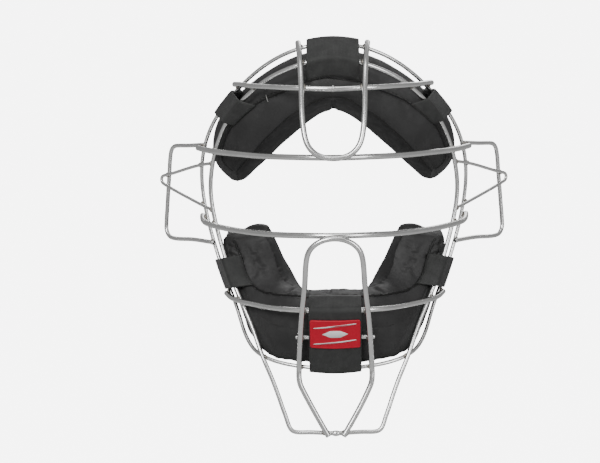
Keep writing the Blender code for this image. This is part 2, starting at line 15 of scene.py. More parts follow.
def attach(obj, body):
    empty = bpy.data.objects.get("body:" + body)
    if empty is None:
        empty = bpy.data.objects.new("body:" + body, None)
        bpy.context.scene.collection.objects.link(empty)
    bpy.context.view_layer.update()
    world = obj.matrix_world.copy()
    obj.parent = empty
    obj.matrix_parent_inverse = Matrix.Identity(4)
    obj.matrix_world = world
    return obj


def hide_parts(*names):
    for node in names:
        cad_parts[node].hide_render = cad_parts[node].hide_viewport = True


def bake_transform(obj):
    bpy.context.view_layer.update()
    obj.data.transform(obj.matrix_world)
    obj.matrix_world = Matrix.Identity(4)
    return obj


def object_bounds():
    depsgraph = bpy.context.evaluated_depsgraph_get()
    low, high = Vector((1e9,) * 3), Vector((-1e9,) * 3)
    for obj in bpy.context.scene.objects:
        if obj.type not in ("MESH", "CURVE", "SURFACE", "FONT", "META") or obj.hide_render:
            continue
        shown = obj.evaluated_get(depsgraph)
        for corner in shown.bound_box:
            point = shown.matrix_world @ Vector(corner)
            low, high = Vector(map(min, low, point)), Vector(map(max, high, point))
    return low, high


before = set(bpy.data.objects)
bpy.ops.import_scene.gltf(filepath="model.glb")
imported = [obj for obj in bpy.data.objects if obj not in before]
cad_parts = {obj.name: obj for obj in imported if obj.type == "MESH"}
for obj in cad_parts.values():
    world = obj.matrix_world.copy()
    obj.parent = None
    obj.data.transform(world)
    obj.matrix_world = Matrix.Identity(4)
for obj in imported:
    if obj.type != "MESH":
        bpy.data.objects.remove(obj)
CAD_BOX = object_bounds()

ORIGIN = np.array((0.0, -19.8, 2.4))
MM = 0.001
GAP = 0.3


def placed(points):
    """Points of the drawing in the model's frame, in metres."""
    return (np.asarray(points, float) - ORIGIN) * MM


def drawn(points):
    """Points of the model's frame in the drawing, in millimetres."""
    return np.asarray(points, float) / MM + ORIGIN


# ---- Curves ----


def unit(vectors):
    return vectors / np.linalg.norm(vectors, axis=-1, keepdims=True)


def lengths(path):
    """The distance along the path to each of its points."""
    return np.concatenate([[0], np.cumsum(np.linalg.norm(np.diff(path, axis=0), axis=1))])


def spline(knots, times, samples):
    """Points at the given times on the natural cubic spline that passes each knot at its own time."""
    knots = np.asarray(knots, float)
    times = np.asarray(times, float)
    step = np.diff(times)
    system = np.eye(len(knots))
    target = np.zeros_like(knots)
    for i in range(1, len(knots) - 1):
        system[i, i - 1 : i + 2] = (step[i - 1], 2 * (step[i - 1] + step[i]), step[i])
        target[i] = 6 * ((knots[i + 1] - knots[i]) / step[i] - (knots[i] - knots[i - 1]) / step[i - 1])
    bend = np.linalg.solve(system, target)
    i = np.clip(np.searchsorted(times, samples) - 1, 0, len(step) - 1)
    b = ((samples - times[i]) / step[i])[:, None]
    a = 1 - b
    curve = ((a**3 - a) * bend[i] + (b**3 - b) * bend[i + 1]) * step[i][:, None] ** 2 / 6
    return a * knots[i] + b * knots[i + 1] + curve


def tangents(path):
    return unit(np.gradient(path, axis=0))


def mirrored(half):
    """The whole of a symmetric path, from the half that starts on x = 0."""
    half = np.asarray(half, float)
    return np.vstack([half[:0:-1] * (-1, 1, 1), half])


def resampled(path, spacing):
    """The path with points the spacing apart, straight between its own."""
    distance = lengths(path)
    wanted = np.linspace(0, distance[-1], 2 + int(distance[-1] / spacing))
    return np.stack([np.interp(wanted, distance, coordinate) for coordinate in path.T], axis=1)


def waves(points, size, seed=0):
    """Smooth noise at each point, from -1 to 1, with lumps of about the given size."""
    return np.array([noise.noise(Vector(p / size) + Vector((seed * 7.3, 0, 0))) for p in points])


# ---- Materials ----

WAVE_PERIOD = 0.314  # a wave texture of scale 1 repeats after this distance


class Shader:
    """A Principled material with a few short ways to add procedural detail."""

    def __init__(self, name, colour, roughness, metallic=0.0, **sockets):
        self.material = bpy.data.materials.new(name)
        self.material.use_nodes = True
        self.tree = self.material.node_tree
        self.principled = self.tree.nodes["Principled BSDF"]
        self.set("Base Color", (*colour, 1))
        self.set("Roughness", roughness)
        self.set("Metallic", metallic)
        for socket, value in sockets.items():
            self.set(socket.replace("_", " "), value)
        self.coordinates = self.tree.nodes.new("ShaderNodeTexCoord")
        self.colour = colour
        self.bumps = None

    def set(self, socket, value):
        self.principled.inputs[socket].default_value = value

    def node(self, kind, **values):
        """A new node, with some of its sockets or properties set by name."""
        made = self.tree.nodes.new(kind)
        for name, value in values.items():
            if name in made.inputs:
                made.inputs[name].default_value = value
            else:
                setattr(made, name, value)
        return made

    def link(self, output, socket):
        self.tree.links.new(output, socket)

    def scaled(self, space, scale):
        """The object's own coordinates or its UV map, scaled alike in all directions."""
        mapping = self.node("ShaderNodeMapping", Scale=(scale, scale, scale))
        self.link(self.coordinates.outputs[space], mapping.inputs["Vector"])
        return mapping.outputs["Vector"]

    def noise(self, size, detail):
        """Noise with lumps of about the given size in millimetres."""
        made = self.node("ShaderNodeTexNoise", Detail=detail, Scale=1)
        self.link(self.scaled("Object", 1 / (size * MM)), made.inputs["Vector"])
        return made.outputs["Fac"]

    def cells(self, size):
        """The distance to the edge of the nearest cell, for cells of about the given size in millimetres."""
        made = self.node("ShaderNodeTexVoronoi", feature="DISTANCE_TO_EDGE", Scale=1)
        self.link(self.scaled("Object", 1 / (size * MM)), made.inputs["Vector"])
        return made.outputs["Distance"]

    def ribs(self, direction, pitch):
        """Waves across the UV map's first or second axis, which is in millimetres."""
        made = self.node("ShaderNodeTexWave", bands_direction=direction, Scale=1, Distortion=0.4)
        made.wave_type = "BANDS"
        made.wave_profile = "SIN"
        self.link(self.scaled("UV", WAVE_PERIOD / pitch), made.inputs["Vector"])
        return made.outputs["Fac"]

    def sum(self, first, second, operation="ADD"):
        made = self.node("ShaderNodeMath", operation=operation)
        self.link(first, made.inputs[0])
        self.link(second, made.inputs[1])
        return made.outputs[0]

    def ramp(self, value, low, high, start=0.3, end=0.7):
        """Numbers from low to high as the value goes from start to end."""
        made = self.node(
            "ShaderNodeMapRange", **{"From Min": start, "From Max": end, "To Min": low, "To Max": high}
        )
        self.link(value, made.inputs["Value"])
        return made.outputs["Result"]

    def shade(self, value, low, high, start=0.3, end=0.7):
        """The base colour, multiplied by low to high as the value goes from start to end."""
        made = self.node("ShaderNodeValToRGB")
        for element, position, factor in zip(made.color_ramp.elements, (start, end), (low, high)):
            element.position = position
            element.color = (*(c * factor for c in self.colour), 1)
        self.link(value, made.inputs["Fac"])
        self.link(made.outputs["Color"], self.principled.inputs["Base Color"])

    def rough(self, value, low, high):
        self.link(self.ramp(value, low, high), self.principled.inputs["Roughness"])

    def bump(self, height, depth, strength=1.0):
        """Adds relief of the given depth in millimetres."""
        made = self.node("ShaderNodeBump", Strength=strength, Distance=depth * MM)
        self.link(height, made.inputs["Height"])
        if self.bumps:
            self.link(self.bumps, made.inputs["Normal"])
        self.bumps = made.outputs["Normal"]
        self.link(self.bumps, self.principled.inputs["Normal"])


def steel(name, colour, roughness):
    """Satin nickel-plated wire, slightly uneven and handled."""
    shader = Shader(name, colour, roughness, 1.0)
    shader.shade(shader.noise(12, 3), 0.94, 1.04)
    shader.rough(shader.noise(9, 2), roughness - 0.03, roughness + 0.04)
    return shader.material


def vinyl(name, colour, roughness):
    """Soft synthetic leather with a fine grain."""
    shader = Shader(name, colour, roughness, Specular_IOR_Level=0.35)
    shader.shade(shader.noise(14, 5), 0.86, 1.16)
    shader.rough(shader.noise(5, 4), roughness - 0.06, roughness + 0.08)
    shader.bump(shader.cells(0.9), 0.05, 0.35)
    shader.bump(shader.noise(0.35, 3), 0.03, 0.5)
    return shader.material


def suede(name, colour):
    """Short-napped lining."""
    shader = Shader(name, colour, 0.92, Sheen_Weight=0.35, Sheen_Roughness=0.5)
    shader.shade(shader.noise(7, 6), 0.75, 1.3)
    shader.bump(shader.noise(0.4, 4), 0.12, 0.7)
    return shader.material


def web(name, colour):
    """Woven webbing: fine ribs across the band and finer ones along it."""
    shader = Shader(name, colour, 0.72, Sheen_Weight=0.12, Sheen_Roughness=0.4)
    weave = shader.sum(shader.ribs("X", 0.95), shader.ribs("Y", 0.62), "MULTIPLY")
    shader.shade(shader.sum(shader.noise(6, 5), shader.ramp(weave, -0.12, 0.12, 0, 1)), 0.75, 1.25)
    shader.bump(weave, 0.16, 0.6)
    shader.bump(shader.noise(0.3, 3), 0.05, 0.6)
    return shader.material


def pile(name, colour, size):
    """The face of a hook or loop patch: a mat of tiny loops."""
    shader = Shader(name, colour, 0.95, Sheen_Weight=0.4, Sheen_Roughness=0.6)
    mat = shader.cells(size)
    shader.shade(mat, 1.6, 0.6, 0.0, 0.5)
    shader.bump(mat, 0.35, 0.9)
    shader.bump(shader.noise(0.3, 4), 0.2, 0.9)
    return shader.material


def moulded(name, colour, roughness):
    """Smooth moulded plastic, and plain thread."""
    shader = Shader(name, colour, roughness)
    shader.shade(shader.noise(4, 3), 0.95, 1.05)
    shader.bump(shader.noise(0.6, 2), 0.02, 0.5)
    return shader.material


STEEL = steel("satin_steel", (0.86, 0.86, 0.85), 0.24)
WELD = steel("weld_steel", (0.3, 0.28, 0.25), 0.45)
VINYL = vinyl("pad_cover", (0.038, 0.038, 0.038), 0.6)
# A darker copy of the cover vinyl for the gusset panel: painted shade, because that panel faces down
SHADED_GUSSET = vinyl("pad_gusset_painted_shade", (0.019, 0.019, 0.019), 0.6)
# A darker copy of the cover vinyl for the piping: painted shade, the dark line along each seam
SHADED_WELT = vinyl("pad_welt_painted_shade", (0.012, 0.012, 0.012), 0.5)
SUEDE = suede("pad_liner", (0.02, 0.02, 0.021))
WEB = web("webbing", (0.034, 0.035, 0.034))
HOOK = pile("hook", (0.012, 0.012, 0.012), 0.8)
LOOP = pile("loop", (0.02, 0.02, 0.02), 1.3)
THREAD = moulded("thread", (0.03, 0.03, 0.03), 0.6)
PALE_THREAD = moulded("pale_thread", (0.3, 0.3, 0.29), 0.6)
RED = moulded("label_red", (0.6, 0.0, 0.024), 0.5)
WHITE = moulded("label_white", (0.95, 0.95, 0.94), 0.35)


# ---- Meshes ----


def piece(name, points, faces, material, slot, body="mask", uv=None):
    """A smooth-shaded mesh object, given in the drawing's frame. `uv` has one pair for each point."""
    mesh = bpy.data.meshes.new(name)
    mesh.from_pydata(placed(points).tolist(), [], [list(face) for face in faces])
    mesh.materials.append(material)
    mesh.shade_smooth()
    if uv is not None:
        layer = mesh.uv_layers.new(name="UVMap")
        corners = np.empty(len(mesh.loops), int)
        mesh.loops.foreach_get("vertex_index", corners)
        layer.data.foreach_set("uv", np.asarray(uv, float)[corners].ravel())
    tidy = bmesh.new()
    tidy.from_mesh(mesh)
    bmesh.ops.recalc_face_normals(tidy, faces=tidy.faces)
    tidy.to_mesh(mesh)
    tidy.free()
    obj = bpy.data.objects.new(name, mesh)
    bpy.context.scene.collection.objects.link(obj)
    if body:
        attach(obj, body)
    return obj


def smoothed(obj):
    made = obj.modifiers.new("smooth", "SUBSURF")
    made.levels = 1
    made.render_levels = 1


def grid_faces(rows, columns, closed_rows=False, closed_columns=False, start=0):
    """Quads over points in row order."""
    faces = []
    for i in range(rows if closed_rows else rows - 1):
        for j in range(columns if closed_columns else columns - 1):
            corner = [(i, j), (i, j + 1), (i + 1, j + 1), (i + 1, j)]
            faces.append([start + (a % rows) * columns + b % columns for a, b in corner])
    return faces


def joined(parts):
    """One list of points and faces from several."""
    points = []
    faces = []
    count = 0
    for part_points, part_faces in parts:
        points.append(np.asarray(part_points, float))
        faces += [[count + i for i in face] for face in part_faces]
        count += len(part_points)
    return np.vstack(points), faces


def transported(path, closed=False):
    """Two unit vectors across the path at each point, turning as little as they can."""
    ahead = tangents(path)
    if closed:
        ahead = unit(np.roll(path, -1, axis=0) - np.roll(path, 1, axis=0))
    side = np.cross(ahead[0], (0, 0, 1) if abs(ahead[0][2]) < 0.8 else (0, 1, 0))
    sides = []
    for direction in ahead:
        side = side - direction * (side @ direction)
        side /= np.linalg.norm(side)
        sides.append(side)
    sides = np.array(sides)
    if closed:
        first = sides[0] - ahead[-1] * (sides[0] @ ahead[-1])
        other = np.cross(ahead[-1], sides[-1])
        twist = math.atan2(first @ other, first @ sides[-1])
        turn = np.linspace(0, twist, len(path))[:, None]
        sides = sides * np.cos(turn) + np.cross(ahead, sides) * np.sin(turn)
    return sides, np.cross(ahead, sides)


def tube(path, radius, sides=14, closed=False, rounding=0.5):
    """A round wire, with its cut ends slightly rounded."""
    path = np.asarray(path, float)
    radii = np.full(len(path), float(radius))
    if not closed:
        ahead = tangents(path)
        near_start, near_end = path[:1] + ahead[:1] * rounding, path[-1:] - ahead[-1:] * rounding
        path = np.vstack([path[:1], near_start, path[1:-1], near_end, path[-1:]])
        radii = np.concatenate([[radii[0] - rounding], radii, [radii[-1] - rounding]])
    one, two = transported(path, closed)
    angles = np.linspace(0, math.tau, sides, endpoint=False)
    ring = one[:, None] * np.cos(angles)[:, None] + two[:, None] * np.sin(angles)[:, None]
    points = (path[:, None] + ring * radii[:, None, None]).reshape(-1, 3)
    faces = grid_faces(len(path), sides, closed_rows=closed, closed_columns=True)
    if not closed:
        faces.append(list(range(sides)))
        faces.append(list(range(len(points) - sides, len(points))))
    return points, faces


def blob(centre, axes, rows=8, columns=12):
    """An ellipsoid with the given half-axes, each a vector."""
    points = []
    for i in range(rows + 1):
        polar = math.pi * i / rows
        for j in range(columns):
            around = math.tau * j / columns
            local = (math.sin(polar) * math.cos(around), math.sin(polar) * math.sin(around), math.cos(polar))
            points.append(centre + np.array(local) @ np.array(axes))
    points = np.vstack([points[columns:-columns], points[0], points[-1]])
    faces = grid_faces(rows - 1, columns, closed_columns=True)
    first_pole = len(points) - 2
    last_row = (rows - 2) * columns
    for j in range(columns):
        following = (j + 1) % columns
        faces.append([first_pole, following, j])
        faces.append([first_pole + 1, last_row + j, last_row + following])
    return points, faces


# ---- The cage ----

WIRE_SPACING = 1.4  # between the rows of a wire's mesh
TOUCHING = 0.9  # two wires nearer than this are welded
BEAD_SPACING = 14  # the least distance between two welds of the same wires
PARALLEL = 0.8  # the cosine past which two wires are welded along their length
LONG_WELD = 6.0  # half the length of such a weld
BEAD = 0.75  # how far a weld of crossing wires reaches past each wire
BEAD_DEPTH = 1.35
BUTT_WELD = (3.6, 2.15)  # half the length and the radius of the bulge amid the throat guard's floor
NUB = (1.1, 0.3, 0.7)  # half the width of the brow bar's nub, and how far it stands past the wire in y and z


def centre_line(name):
    """The centre line of a CAD wire and its radius.

    The wire's mesh is a row of rings of corners between two flat caps. A cap is a flat face whose corners lie on a
    circle, and the rings are found by walking from one cap along the edges.
    """
    mesh = bmesh.new()
    mesh.from_mesh(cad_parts[name].data)
    bmesh.ops.remove_doubles(mesh, verts=mesh.verts, dist=1e-6)
    mesh.faces.ensure_lookup_table()
    caps = []
    seen = set()
    for face in mesh.faces:
        if face in seen:
            continue
        group = {face}
        front = [face]
        while front:
            for edge in front.pop().edges:
                for other in edge.link_faces:
                    if other not in group and other.normal.dot(face.normal) > 0.99999:
                        group.add(other)
                        front.append(other)
        seen |= group
        corners = {vertex for member in group for vertex in member.verts}
        if len(group) == len(corners) - 2 and len(corners) > 5:
            places = np.array([vertex.co for vertex in corners])
            reach = np.linalg.norm(places - places.mean(axis=0), axis=1)
            if np.ptp(reach) < 0.02 * reach.max():
                caps.append(corners)
    layer = caps[0]
    visited = set()
    path = []
    while layer:
        places = np.array([vertex.co for vertex in layer])
        path.append(places.mean(axis=0))
        visited |= layer
        layer = {edge.other_vert(vertex) for vertex in layer for edge in vertex.link_edges} - visited
    radius = np.linalg.norm(places - path[-1], axis=1).mean() / MM
    mesh.free()
    return drawn(path), radius


def smooth_line(path, spacing=WIRE_SPACING):
    times = lengths(path)
    return spline(path, times, np.linspace(0, times[-1], 2 + int(times[-1] / spacing)))


def smooth_loop(path):
    """The same for a ring. Its two ends meet, and its last point isn't repeated."""
    path = np.vstack([path[:1] + path[-1:], 2 * path[1:-1], path[:1] + path[-1:]]) / 2
    around = np.vstack([path[-4:-1], path, path[1:4]])
    times = lengths(around)
    return spline(around, times, np.linspace(times[3], times[-4], 2 + int(times[-1] / WIRE_SPACING)))[:-1]


RINGS = ("rear_ring", "front_ring")
BARS = ("brow_bar", "upper_eye_bar", "lower_eye_bar", "mouth_bar", "nose_loop", "throat_loop", "strap_crossbar")
SIDE_WIRES = ("ear_guard_left", "ear_guard_right", "harness_loop_left", "harness_loop_right")
WIRES = {}
for wire_name in (*RINGS, *BARS, *SIDE_WIRES):
    line, wire_radius = centre_line(wire_name)
    WIRES[wire_name] = ((smooth_loop if wire_name in RINGS else smooth_line)(line), wire_radius)
REAR, REAR_R = WIRES["rear_ring"]
FRONT, FRONT_R = WIRES["front_ring"]


def contacts(first, second):
    """Where two wires touch: the place, the directions of both and the direction from one to the other."""
    (a, a_radius), (b, b_radius) = WIRES[first], WIRES[second]
    apart = np.linalg.norm(a[:, None] - b[None], axis=2)
    found = []
    while apart.min() < a_radius + b_radius + TOUCHING:
        i, j = np.unravel_index(np.argmin(apart), apart.shape)
        across = unit(b[j] - a[i])
        place = a[i] + across * a_radius + across * (apart[i, j] - a_radius - b_radius) / 2
        found.append((place, tangents(a)[i], tangents(b)[j], across, a_radius, b_radius))
        apart[np.linalg.norm(a - a[i], axis=1) < BEAD_SPACING] = np.inf
    return found


def weld(place, along_a, along_b, across, a_radius, b_radius):
    """A bead of weld metal that fills the corner between two wires."""
    if abs(along_a @ along_b) > PARALLEL:
        length = unit(along_a + along_b * np.sign(along_a @ along_b))
        width = np.cross(across, length)
        return blob(place, (length * LONG_WELD, width * 0.75 * a_radius, across))
    along_b = unit(along_b - across * (along_b @ across))
    along_a = unit(np.cross(along_b, across))
    return blob(place, (along_a * (b_radius + BEAD), along_b * (a_radius + BEAD), across * BEAD_DEPTH))


def build_cage():
    """The wires, the weld beads where they touch, the butt weld of the throat guard and the brow bar's nub."""
    for name, (path, radius) in WIRES.items():
        obj = piece(f"{name}_wire", *tube(path, radius, closed=name in RINGS), STEEL, "satin_steel")
        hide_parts(name)
    names = list(WIRES)
    beads = []
    for i, first in enumerate(names):
        for second in names[i + 1 :]:
            beads += [weld(*contact) for contact in contacts(first, second)]
    points, faces = joined(beads)
    points = points + np.outer(waves(points, 1.6), (0.12, -0.12, 0.12))
    piece("weld_beads", points, faces, WELD, "satin_steel")
    floor = FRONT[np.argmin(FRONT[:, 2] + abs(FRONT[:, 0]) * 0.2)]
    bulge = blob(floor, np.diag((BUTT_WELD[0], BUTT_WELD[1], BUTT_WELD[1])), 12, 16)
    piece("throat_floor_butt_weld", *bulge, STEEL, "satin_steel")
    brow, brow_radius = WIRES["brow_bar"]
    half_axes = np.diag((NUB[0], brow_radius + NUB[1], brow_radius + NUB[2]))
    nub = blob(brow[len(brow) // 2] + (0, -0.4, 0.3), half_axes)
    piece("brow_bar_nub", *nub, STEEL, "satin_steel")


build_cage()


# ---- The pads ----

# Each pad's edges as in the CAD: a knot for each station, from the middle to the pad's end
FOREHEAD = {
    "seam": "0,-51,117.7 16.8,-50,114 35.2,-46,105.7 52,-39,98 66.4,-29,86.1 76,-17,74 81,-9,56 73,-5,46",
    "inner": "0,-50,102.2 16,-49.5,97.5 30,-46.5,89 41,-41,79 50.5,-34,69.5 57.5,-26,61 63.5,-16,53.5 71,-5,44",
    "face": "0,-13,89.8 17.5,-13,82.2 31,-10.5,70.8 41.5,-6,61.3 51,1,51.4 58.5,9,44 65,16,37.8 70.5,18,36",
    "back": "0,-13,133 20,-13,130.8 40,-9,122.3 58,-2,110 73,9,96 85.5,18,78 88,21,52.5 75.5,17,37.5",
}
JAW = {
    "seam": "0,-58,-37.5 17,-56.5,-38 31,-51.5,-38.5 45,-38,-39.3 56,-26,-37.5 64,-15.5,-29.5 68,-10,-16.5 73.5,-6,-5",
    "inner": "0,-29,-37.5 17,-25,-38.5 27,-21,-37.4 34,-19,-34.8 39,-16,-29.5 42.5,-12.5,-21 45.5,-9.5,-11 "
    "50.5,-7.5,-2",
    "face": "0,-25,-44 15,-20,-44 23,-10,-41 28,3,-36 32.5,12,-29 37.5,16,-21 42,18,-11 48.5,18,2",
    "back": "0,-25,-86.5 17,-23,-86 32,-18,-85 47,-9,-80.5 61,3,-69 73,16,-43.5 79,22,-20.5 79,21,-2.5",
    "under": "0,-50,-86.8 19,-49,-86.3 36,-44,-85.2 51,-36,-80.4 62.5,-24,-65.5 72,-10.5,-40 79,-2,-20 80,0,-4.5",
    "front": "0,-60,-62 18,-58,-62 34,-53,-61 49,-43,-58 60,-30,-50 69,-15,-34 75,-7.5,-18 77.5,-3,-4.5",
}
for pad_edges in (FOREHEAD, JAW):
    for edge_name, knots in pad_edges.items():
        pad_edges[edge_name] = mirrored([[float(v) for v in knot.split(",")] for knot in knots.split()])
LAST = 7  # the station at a pad's end; 0 is its middle
PAD_GAP = 0.6
PANEL_FLATNESS = 2.6  # the higher, the flatter a panel's middle and the steeper its sides
PUCKER = 4.2  # the length of the small folds along a seam
PUCKER_REACH = 0.13  # how far they run into a panel, as a share of it
LINER_SWELL = 2.1
STATIONS = np.linspace(-LAST, LAST, 197)
ACROSS_PANEL = np.array((0, 0.025, 0.06, 0.12, 0.2, 0.3, 0.4, 0.5, 0.6, 0.7, 0.8, 0.88, 0.94, 0.975))
CAP_ANGLES = np.radians((18, 36, 54, 70, 82))  # how far each row of a pad's rounded end has turned
CAP_ROWS = len(CAP_ANGLES)


def edge_path(edges, name, stations=STATIONS):
    return spline(edges[name], np.arange(-LAST, LAST + 1), stations)


def outward_normals(grid):
    """Unit normals of a grid of points, rows along and columns round, that point away from each row's middle."""
    across = np.roll(grid, -1, axis=1) - np.roll(grid, 1, axis=1)
    normals = unit(np.cross(np.gradient(grid, axis=0), across))
    away = np.sum(normals * (grid - grid.mean(axis=1, keepdims=True)), axis=2)
    return normals * np.sign(np.median(away))


def panel_column(edges, name, share):
    """The column of the pad's grid at a share of the way across the panel that starts on the named edge."""
    return list(edges).index(name) * len(ACROSS_PANEL) + int(np.argmin(abs(ACROSS_PANEL - share)))


def pad_grid(edges, crowns, ends):
    """The pad's surface: each panel swells between its seams, and each seam is drawn in."""
    corners = [edge_path(edges, name) for name in edges]
    columns = []
    for first, second in zip(corners, corners[1:] + corners[:1]):
        columns += [first + (second - first) * share for share in ACROSS_PANEL]
    flat = np.stack(columns, axis=1)
    normals = outward_normals(flat)
    swell = 1 - abs(2 * ACROSS_PANEL - 1) ** PANEL_FLATNESS
    fade = np.clip((LAST - abs(STATIONS)) / 0.8, 0, 1) ** 0.5
    height = np.concatenate([swell * crown for crown in crowns])
    grid = flat + normals * (height[None] * fade[:, None])[..., None]
    caps = []
    for row, ahead in ((grid[0], grid[0] - grid[2]), (grid[-1], grid[-1] - grid[-3])):
        middle = row.mean(axis=0)
        way = unit(ahead.mean(axis=0))
        cap = []
        for angle in CAP_ANGLES:
            cap.append(middle + (row - middle) * math.cos(angle) + way * ends * math.sin(angle))
        caps.append(cap)
    return np.concatenate([caps[0][::-1], grid, caps[1]])


def dented(grid, creases):
    """The grid pressed in along each crease, a polyline drawn onto it with a depth and a half-width."""
    normals = outward_normals(grid)
    flat = grid.reshape(-1, 3)
    push = np.zeros(len(flat))
    for depth, width, *line in creases:
        line = resampled(np.array(line, float), 1.0)
        line = flat[np.linalg.norm(flat[:, None] - line[None], axis=2).argmin(axis=0)]
        apart = np.linalg.norm(flat[:, None] - line[None], axis=2)
        nearest = apart.argmin(axis=1)
        distance = apart[np.arange(len(flat)), nearest]
        run = nearest / (len(line) - 1)
        taper = np.clip(4 * run * (1 - run) * 1.6, 0, 1)
        push += depth * np.exp(-((distance / width) ** 2)) * taper
    return grid - normals * push.reshape(grid.shape[:2])[..., None]


def puckered(grid, edges, gathers):
    """Small folds that run off the seams, and soft unevenness everywhere."""
    flat = grid.reshape(-1, 3)
    share = np.tile(ACROSS_PANEL, len(edges))
    near_seam = np.exp(-np.minimum(share, 1 - share) / PUCKER_REACH)
    strength = np.repeat(gathers, len(ACROSS_PANEL))
    run = lengths(grid.mean(axis=1)) / PUCKER
    ripple = np.zeros(grid.shape[:2])
    for j in range(grid.shape[1]):
        panel = j // len(ACROSS_PANEL)
        ripple[:, j] = [noise.noise(Vector((along, panel * 9.1, share[j] * 1.2))) for along in run]
    lumps = (waves(flat, 24, 1) * 0.7 + waves(flat, 9, 2) * 0.1).reshape(grid.shape[:2])
    return grid + outward_normals(grid) * (ripple * near_seam * strength + lumps)[..., None]


def closed_grid(grid):
    """Points and faces of a grid closed round its rows, with a face over each end."""
    rows, columns = grid.shape[:2]
    faces = grid_faces(rows, columns, closed_columns=True)
    faces += [list(range(columns)), list(range((rows - 1) * columns, rows * columns))]
    return grid.reshape(-1, 3), faces


def stitches(path, normals, length=2.1, gap=1.1, radius=0.26):
    """Short thread stitches that lie along a path, each sunk at its ends."""
    distance = lengths(path)
    count = int(distance[-1] / (length + gap))
    parts = []
    for k in range(count):
        places = (k + 0.5) * (length + gap) + np.array((-0.5, -0.25, 0.25, 0.5)) * length
        line = np.stack([np.interp(places, distance, c) for c in path.T], axis=1)
        up = unit(np.array([np.interp(places[1], distance, c) for c in normals.T]))
        line = line + np.outer((-0.3, 0.14, 0.14, -0.3), up)
        parts.append(tube(line, radius, 6, rounding=0.08))
    return joined(parts)


def build_pad(name, edges, crowns, gathers, ends, creases, welts, seams, notch=0):
    """A pad's cover with its piping, its stitching and its lining. Returns the cover's grid and normals."""
    grid = puckered(dented(pad_grid(edges, crowns, ends), creases), edges, gathers)
    cover = piece(f"{name}_pad", *closed_grid(grid), VINYL, "pad_cover")
    # The gusset panel's faces get the darker copy of the cover, which is painted shade
    cover.data.materials.append(SHADED_GUSSET)
    columns = grid.shape[1]
    gusset = range(panel_column(edges, "inner", 0), panel_column(edges, "face", 0))
    for face in cover.data.polygons:
        if face.index < (len(grid) - 1) * columns and face.index % columns in gusset:
            face.material_index = 1
    smoothed(cover)
    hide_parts(f"{name}_pad_cover", f"{name}_pad_foam")
    normals = outward_normals(grid)
    for label, edge, radius, proud in welts:
        column = panel_column(edges, edge, 0)
        path = grid[CAP_ROWS:-CAP_ROWS, column] + normals[CAP_ROWS:-CAP_ROWS, column] * proud
        # The piping takes the darker copy of the cover, painted shade along the seam
        piece(f"{name}_{label}_welt", *tube(smooth_line(path, 1.6), radius, 10), SHADED_WELT, "pad_cover")
    rows = []
    for edge, share in seams:
        column = panel_column(edges, edge, share)
        rows.append(stitches(grid[CAP_ROWS:-CAP_ROWS, column], normals[CAP_ROWS:-CAP_ROWS, column]))
    piece(f"{name}_pad_stitching", *joined(rows), THREAD, "pad_cover")
    build_liner(name, edges, notch)
    return grid, normals


def build_liner(name, edges, notch):
    """The napped lining over the pad's back: a thin cushion with a rolled edge, and a notch amid its face edge."""
    stations = np.unique(np.concatenate([np.linspace(-LAST, LAST, 141), np.linspace(-0.2, 0.2, 9)]))
    face = edge_path(edges, "face", stations)
    back = edge_path(edges, "back", stations)
    shares = np.array((0, 0.02, 0.06, 0.15, 0.3, 0.5, 0.7, 0.85, 0.94, 0.98, 1))
    rise = 1 - abs(2 * shares - 1) ** 4
    if notch:
        face[:, 2] += notch * np.exp(-((face[:, 0] / 1.6) ** 2))
    rows = []
    for s, low, high in zip(stations, face, back):
        fade = np.clip((LAST - abs(s)) / 0.4, 0, 1) ** 0.5
        base = low + np.outer(shares, high - low) + (0, PAD_GAP, 0)
        top = base + np.outer(0.5 + rise * LINER_SWELL * fade, (0, 1, 0))
        rows.append(np.vstack([base, top[::-1]]))
    grid = np.array(rows)
    columns = len(shares)
    flat = grid[:, columns:].reshape(-1, 3)
    grid[:, columns:, 1] += (waves(flat, 18, 3) * 0.45 + waves(flat, 6, 4) * 0.15).reshape(len(grid), columns)
    liner = piece(f"{name}_liner", *closed_grid(grid), SUEDE, "pad_liner")
    smoothed(liner)
    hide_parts(f"{name}_pad_liner")


def both_sides(crease):
    """A crease and its mirror image."""
    depth, width, *line = crease
    return [crease, (depth, width, *[(-x, y, z) for x, y, z in line])]


def tacks(grid, normals, edge, share, low, high, length, gap):
    """Loose pale stitches beside a seam, between two distances from the middle."""
    column = panel_column(FOREHEAD, edge, share)
    chosen = (grid[:, column, 0] > low) & (grid[:, column, 0] < high)
    return stitches(grid[chosen, column], normals[chosen, column], length, gap, 0.3)


def bar_tack(grid, normals, x):
    """A thread that crosses the forehead pad's outer seam."""
    seam = panel_column(FOREHEAD, "seam", 0)
    row = int(np.argmin(abs(grid[:, seam, 0] - x)))
    columns = [panel_column(FOREHEAD, "back", 0.94), seam, panel_column(FOREHEAD, "seam", 0.12)]
    line = [grid[row, column] + normals[row, column] * 0.7 for column in columns]
    line[0] = line[1] + unit(line[0] - line[1]) * 3.2
    line[2] = line[1] + unit(line[2] - line[1]) * 3.0
    start, end = line[0] - normals[row, columns[0]], line[2] - normals[row, columns[2]]
    return tube([start, *line, end], 0.34, 6, rounding=0.1)


